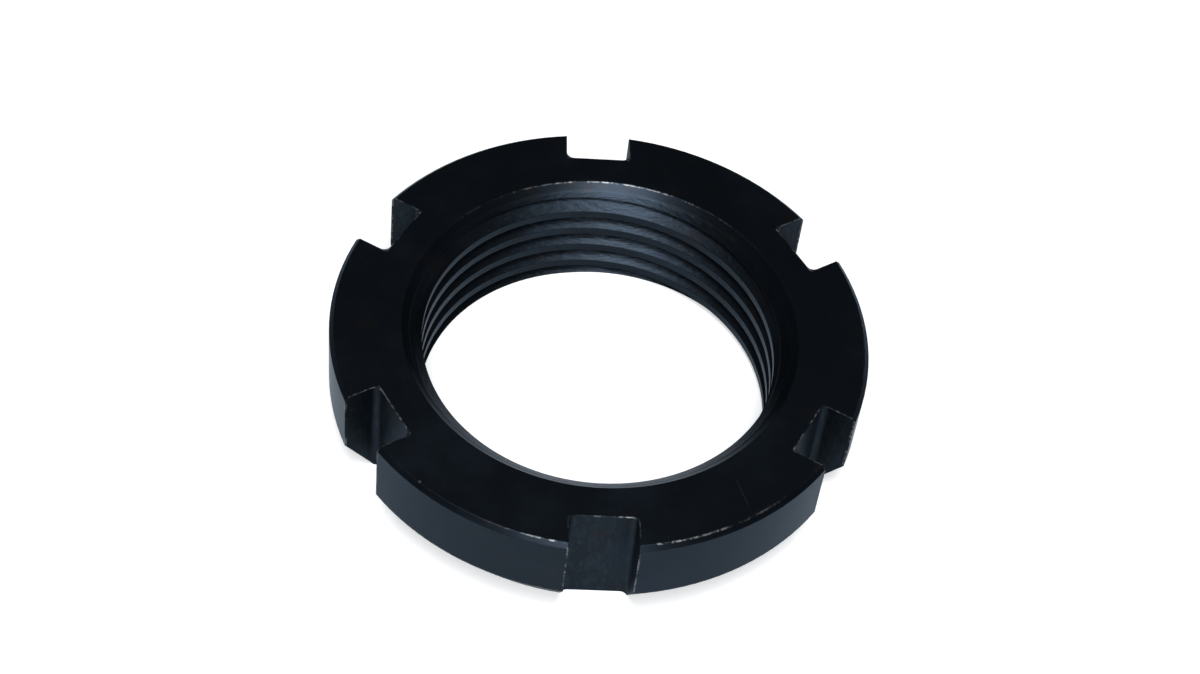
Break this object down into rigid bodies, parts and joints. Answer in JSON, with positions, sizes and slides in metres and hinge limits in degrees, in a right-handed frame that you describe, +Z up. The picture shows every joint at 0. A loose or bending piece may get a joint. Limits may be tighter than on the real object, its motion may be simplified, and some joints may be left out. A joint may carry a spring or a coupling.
{
  "type": "slotted round nut",
  "caption": "Slotted round nut in blackened steel: a flat turned ring with a coarse internal thread, a chamfered base and notches round the rim for a hook spanner.",
  "frame": {"origin": "centre of the base face, on the thread axis", "axes": "+Z up along the thread axis, from the chamfered base to the flat face with the lead-in; -Y through the middle of one spanner slot"},
  "size_m": [0.085, 0.0844, 0.0195],
  "materials": {
    "slotted_nut": "blackened (black oxide) steel, oiled, satin"
  },
  "bodies": {
    "root": {"slotted_nut": "slotted_nut"}
  },
  "joints": []
}
